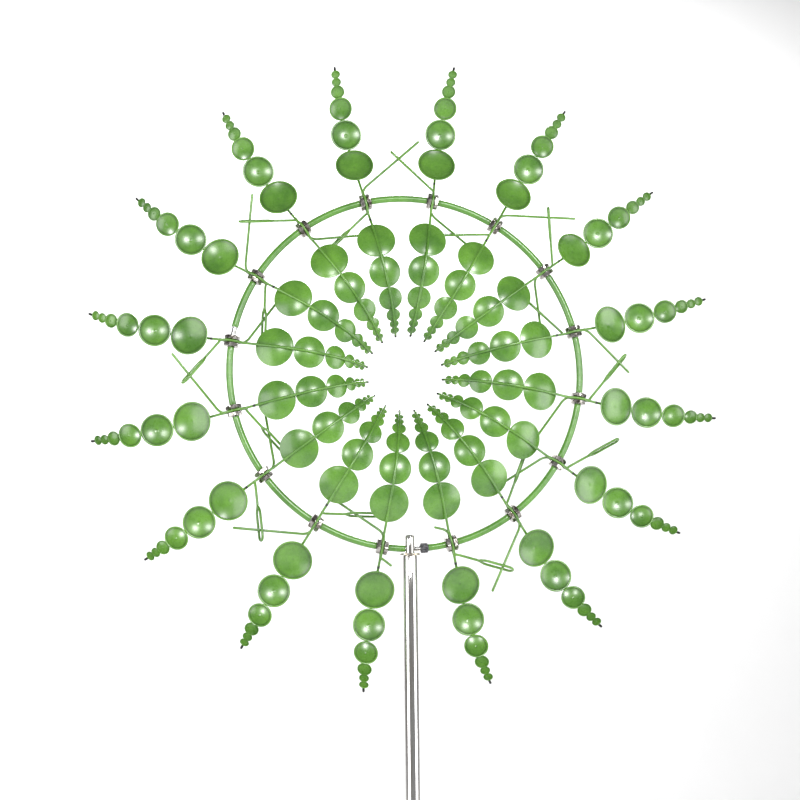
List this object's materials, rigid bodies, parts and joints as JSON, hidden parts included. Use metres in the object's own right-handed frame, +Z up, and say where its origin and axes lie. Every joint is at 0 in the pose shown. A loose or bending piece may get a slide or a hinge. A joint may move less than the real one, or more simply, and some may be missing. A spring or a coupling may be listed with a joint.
{
  "type": "wind spinner",
  "caption": "Kinetic wind spinner: an upright hoop carries balanced arms of dished discs that roll round it and carry each other by hooked fingers, on a ground stake.",
  "frame": {"origin": "middle of the step bar's flat underside, on the ground surface", "axes": "+Z up along the stake, the hoop stands in the XZ plane and its front looks along -Y"},
  "size_m": [0.5878, 0.0424, 1.2439],
  "materials": {
    "green_paint_arms": "gloss leaf-green paint with a clear coat",
    "green_paint_sleeves": "gloss leaf-green paint",
    "zinc_nuts": "bright zinc plate",
    "bare_rod": "drawn bright steel",
    "dark_nut": "dark zinc plate",
    "polished_stake": "polished stainless steel",
    "dark_steel": "satin black paint"
  },
  "bodies": {
    "root": {"hoop_rod": "bare_rod", "sleeve_01": "green_paint_sleeves", "sleeve_02": "green_paint_sleeves", "sleeve_03": "green_paint_sleeves", "sleeve_04": "green_paint_sleeves", "sleeve_05": "green_paint_sleeves", "sleeve_06": "green_paint_sleeves", "sleeve_07": "green_paint_sleeves", "sleeve_08": "green_paint_sleeves", "sleeve_09": "green_paint_sleeves", "sleeve_10": "green_paint_sleeves", "sleeve_11": "green_paint_sleeves", "sleeve_12": "green_paint_sleeves", "sleeve_13": "green_paint_sleeves", "sleeve_14": "green_paint_sleeves", "sleeve_15": "green_paint_sleeves", "sleeve_16": "green_paint_sleeves", "sleeve_17": "green_paint_sleeves", "hoop_nut": "dark_nut", "post_stud": "polished_stake", "post_collar": "polished_stake", "pole_upper": "polished_stake", "pole_joiner": "polished_stake", "pole_lower": "polished_stake", "step_bar": "dark_steel", "prong_left": "dark_steel", "prong_right": "dark_steel"},
    "turning_arm_01": {"arm_01": "green_paint_arms", "hub_01": "zinc_nuts"},
    "turning_arm_02": {"arm_02": "green_paint_arms", "hub_02": "zinc_nuts"},
    "turning_arm_03": {"arm_03": "green_paint_arms", "hub_03": "zinc_nuts"},
    "turning_arm_04": {"arm_04": "green_paint_arms", "hub_04": "zinc_nuts"},
    "turning_arm_05": {"arm_05": "green_paint_arms", "hub_05": "zinc_nuts"},
    "turning_arm_06": {"arm_06": "green_paint_arms", "hub_06": "zinc_nuts"},
    "turning_arm_07": {"arm_07": "green_paint_arms", "hub_07": "zinc_nuts"},
    "turning_arm_08": {"arm_08": "green_paint_arms", "hub_08": "zinc_nuts"},
    "turning_arm_09": {"arm_09": "green_paint_arms", "hub_09": "zinc_nuts"},
    "turning_arm_10": {"arm_10": "green_paint_arms", "hub_10": "zinc_nuts"},
    "turning_arm_11": {"arm_11": "green_paint_arms", "hub_11": "zinc_nuts"},
    "turning_arm_12": {"arm_12": "green_paint_arms", "hub_12": "zinc_nuts"},
    "turning_arm_13": {"arm_13": "green_paint_arms", "hub_13": "zinc_nuts"},
    "turning_arm_14": {"arm_14": "green_paint_arms", "hub_14": "zinc_nuts"},
    "turning_arm_15": {"arm_15": "green_paint_arms", "hub_15": "zinc_nuts"},
    "turning_arm_16": {"arm_16": "green_paint_arms", "hub_16": "zinc_nuts"}
  },
  "joints": [
    {"name": "arm_01_turn", "type": "hinge", "parent": "root", "child": "turning_arm_01", "pos_m": [0.03889, 0, 0.63862], "axis": [0.9722, 0, 0.2343], "continuous": true},
    {"name": "arm_02_turn", "type": "hinge", "parent": "root", "child": "turning_arm_02", "pos_m": [0.09769, 0, 0.66579], "axis": [0.8085, 0, 0.5885], "continuous": true},
    {"name": "arm_03_turn", "type": "hinge", "parent": "root", "child": "turning_arm_03", "pos_m": [0.14161, 0, 0.71339], "axis": [0.5218, 0, 0.8531], "continuous": true},
    {"name": "arm_04_turn", "type": "hinge", "parent": "root", "child": "turning_arm_04", "pos_m": [0.16398, 0, 0.77417], "axis": [0.1556, 0, 0.9878], "continuous": true},
    {"name": "arm_05_turn", "type": "hinge", "parent": "root", "child": "turning_arm_05", "pos_m": [0.16138, 0, 0.83889], "axis": [-0.2343, 0, 0.9722], "continuous": true},
    {"name": "arm_06_turn", "type": "hinge", "parent": "root", "child": "turning_arm_06", "pos_m": [0.13421, 0, 0.89769], "axis": [-0.5885, 0, 0.8085], "continuous": true},
    {"name": "arm_07_turn", "type": "hinge", "parent": "root", "child": "turning_arm_07", "pos_m": [0.08661, 0, 0.94161], "axis": [-0.8531, 0, 0.5218], "continuous": true},
    {"name": "arm_08_turn", "type": "hinge", "parent": "root", "child": "turning_arm_08", "pos_m": [0.02583, 0, 0.96398], "axis": [-0.9878, 0, 0.1556], "continuous": true},
    {"name": "arm_09_turn", "type": "hinge", "parent": "root", "child": "turning_arm_09", "pos_m": [-0.03889, 0, 0.96138], "axis": [-0.9722, 0, -0.2343], "continuous": true},
    {"name": "arm_10_turn", "type": "hinge", "parent": "root", "child": "turning_arm_10", "pos_m": [-0.09769, 0, 0.93421], "axis": [-0.8085, 0, -0.5885], "continuous": true},
    {"name": "arm_11_turn", "type": "hinge", "parent": "root", "child": "turning_arm_11", "pos_m": [-0.14161, 0, 0.88661], "axis": [-0.5218, 0, -0.8531], "continuous": true},
    {"name": "arm_12_turn", "type": "hinge", "parent": "root", "child": "turning_arm_12", "pos_m": [-0.16398, 0, 0.82583], "axis": [-0.1556, 0, -0.9878], "continuous": true},
    {"name": "arm_13_turn", "type": "hinge", "parent": "root", "child": "turning_arm_13", "pos_m": [-0.16138, 0, 0.76111], "axis": [0.2343, 0, -0.9722], "continuous": true},
    {"name": "arm_14_turn", "type": "hinge", "parent": "root", "child": "turning_arm_14", "pos_m": [-0.13421, 0, 0.70231], "axis": [0.5885, 0, -0.8085], "continuous": true},
    {"name": "arm_15_turn", "type": "hinge", "parent": "root", "child": "turning_arm_15", "pos_m": [-0.08661, 0, 0.65839], "axis": [0.8531, 0, -0.5218], "continuous": true},
    {"name": "arm_16_turn", "type": "hinge", "parent": "root", "child": "turning_arm_16", "pos_m": [-0.02583, 0, 0.63602], "axis": [0.9878, 0, -0.1556], "continuous": true}
  ],
  "couplings": [
    {"joint": "arm_02_turn", "follows": "arm_01_turn", "ratio": 1},
    {"joint": "arm_03_turn", "follows": "arm_01_turn", "ratio": 1},
    {"joint": "arm_04_turn", "follows": "arm_01_turn", "ratio": 1},
    {"joint": "arm_05_turn", "follows": "arm_01_turn", "ratio": 1},
    {"joint": "arm_06_turn", "follows": "arm_01_turn", "ratio": 1},
    {"joint": "arm_07_turn", "follows": "arm_01_turn", "ratio": 1},
    {"joint": "arm_08_turn", "follows": "arm_01_turn", "ratio": 1},
    {"joint": "arm_09_turn", "follows": "arm_01_turn", "ratio": 1},
    {"joint": "arm_10_turn", "follows": "arm_01_turn", "ratio": 1},
    {"joint": "arm_11_turn", "follows": "arm_01_turn", "ratio": 1},
    {"joint": "arm_12_turn", "follows": "arm_01_turn", "ratio": 1},
    {"joint": "arm_13_turn", "follows": "arm_01_turn", "ratio": 1},
    {"joint": "arm_14_turn", "follows": "arm_01_turn", "ratio": 1},
    {"joint": "arm_15_turn", "follows": "arm_01_turn", "ratio": 1},
    {"joint": "arm_16_turn", "follows": "arm_01_turn", "ratio": 1}
  ]
}
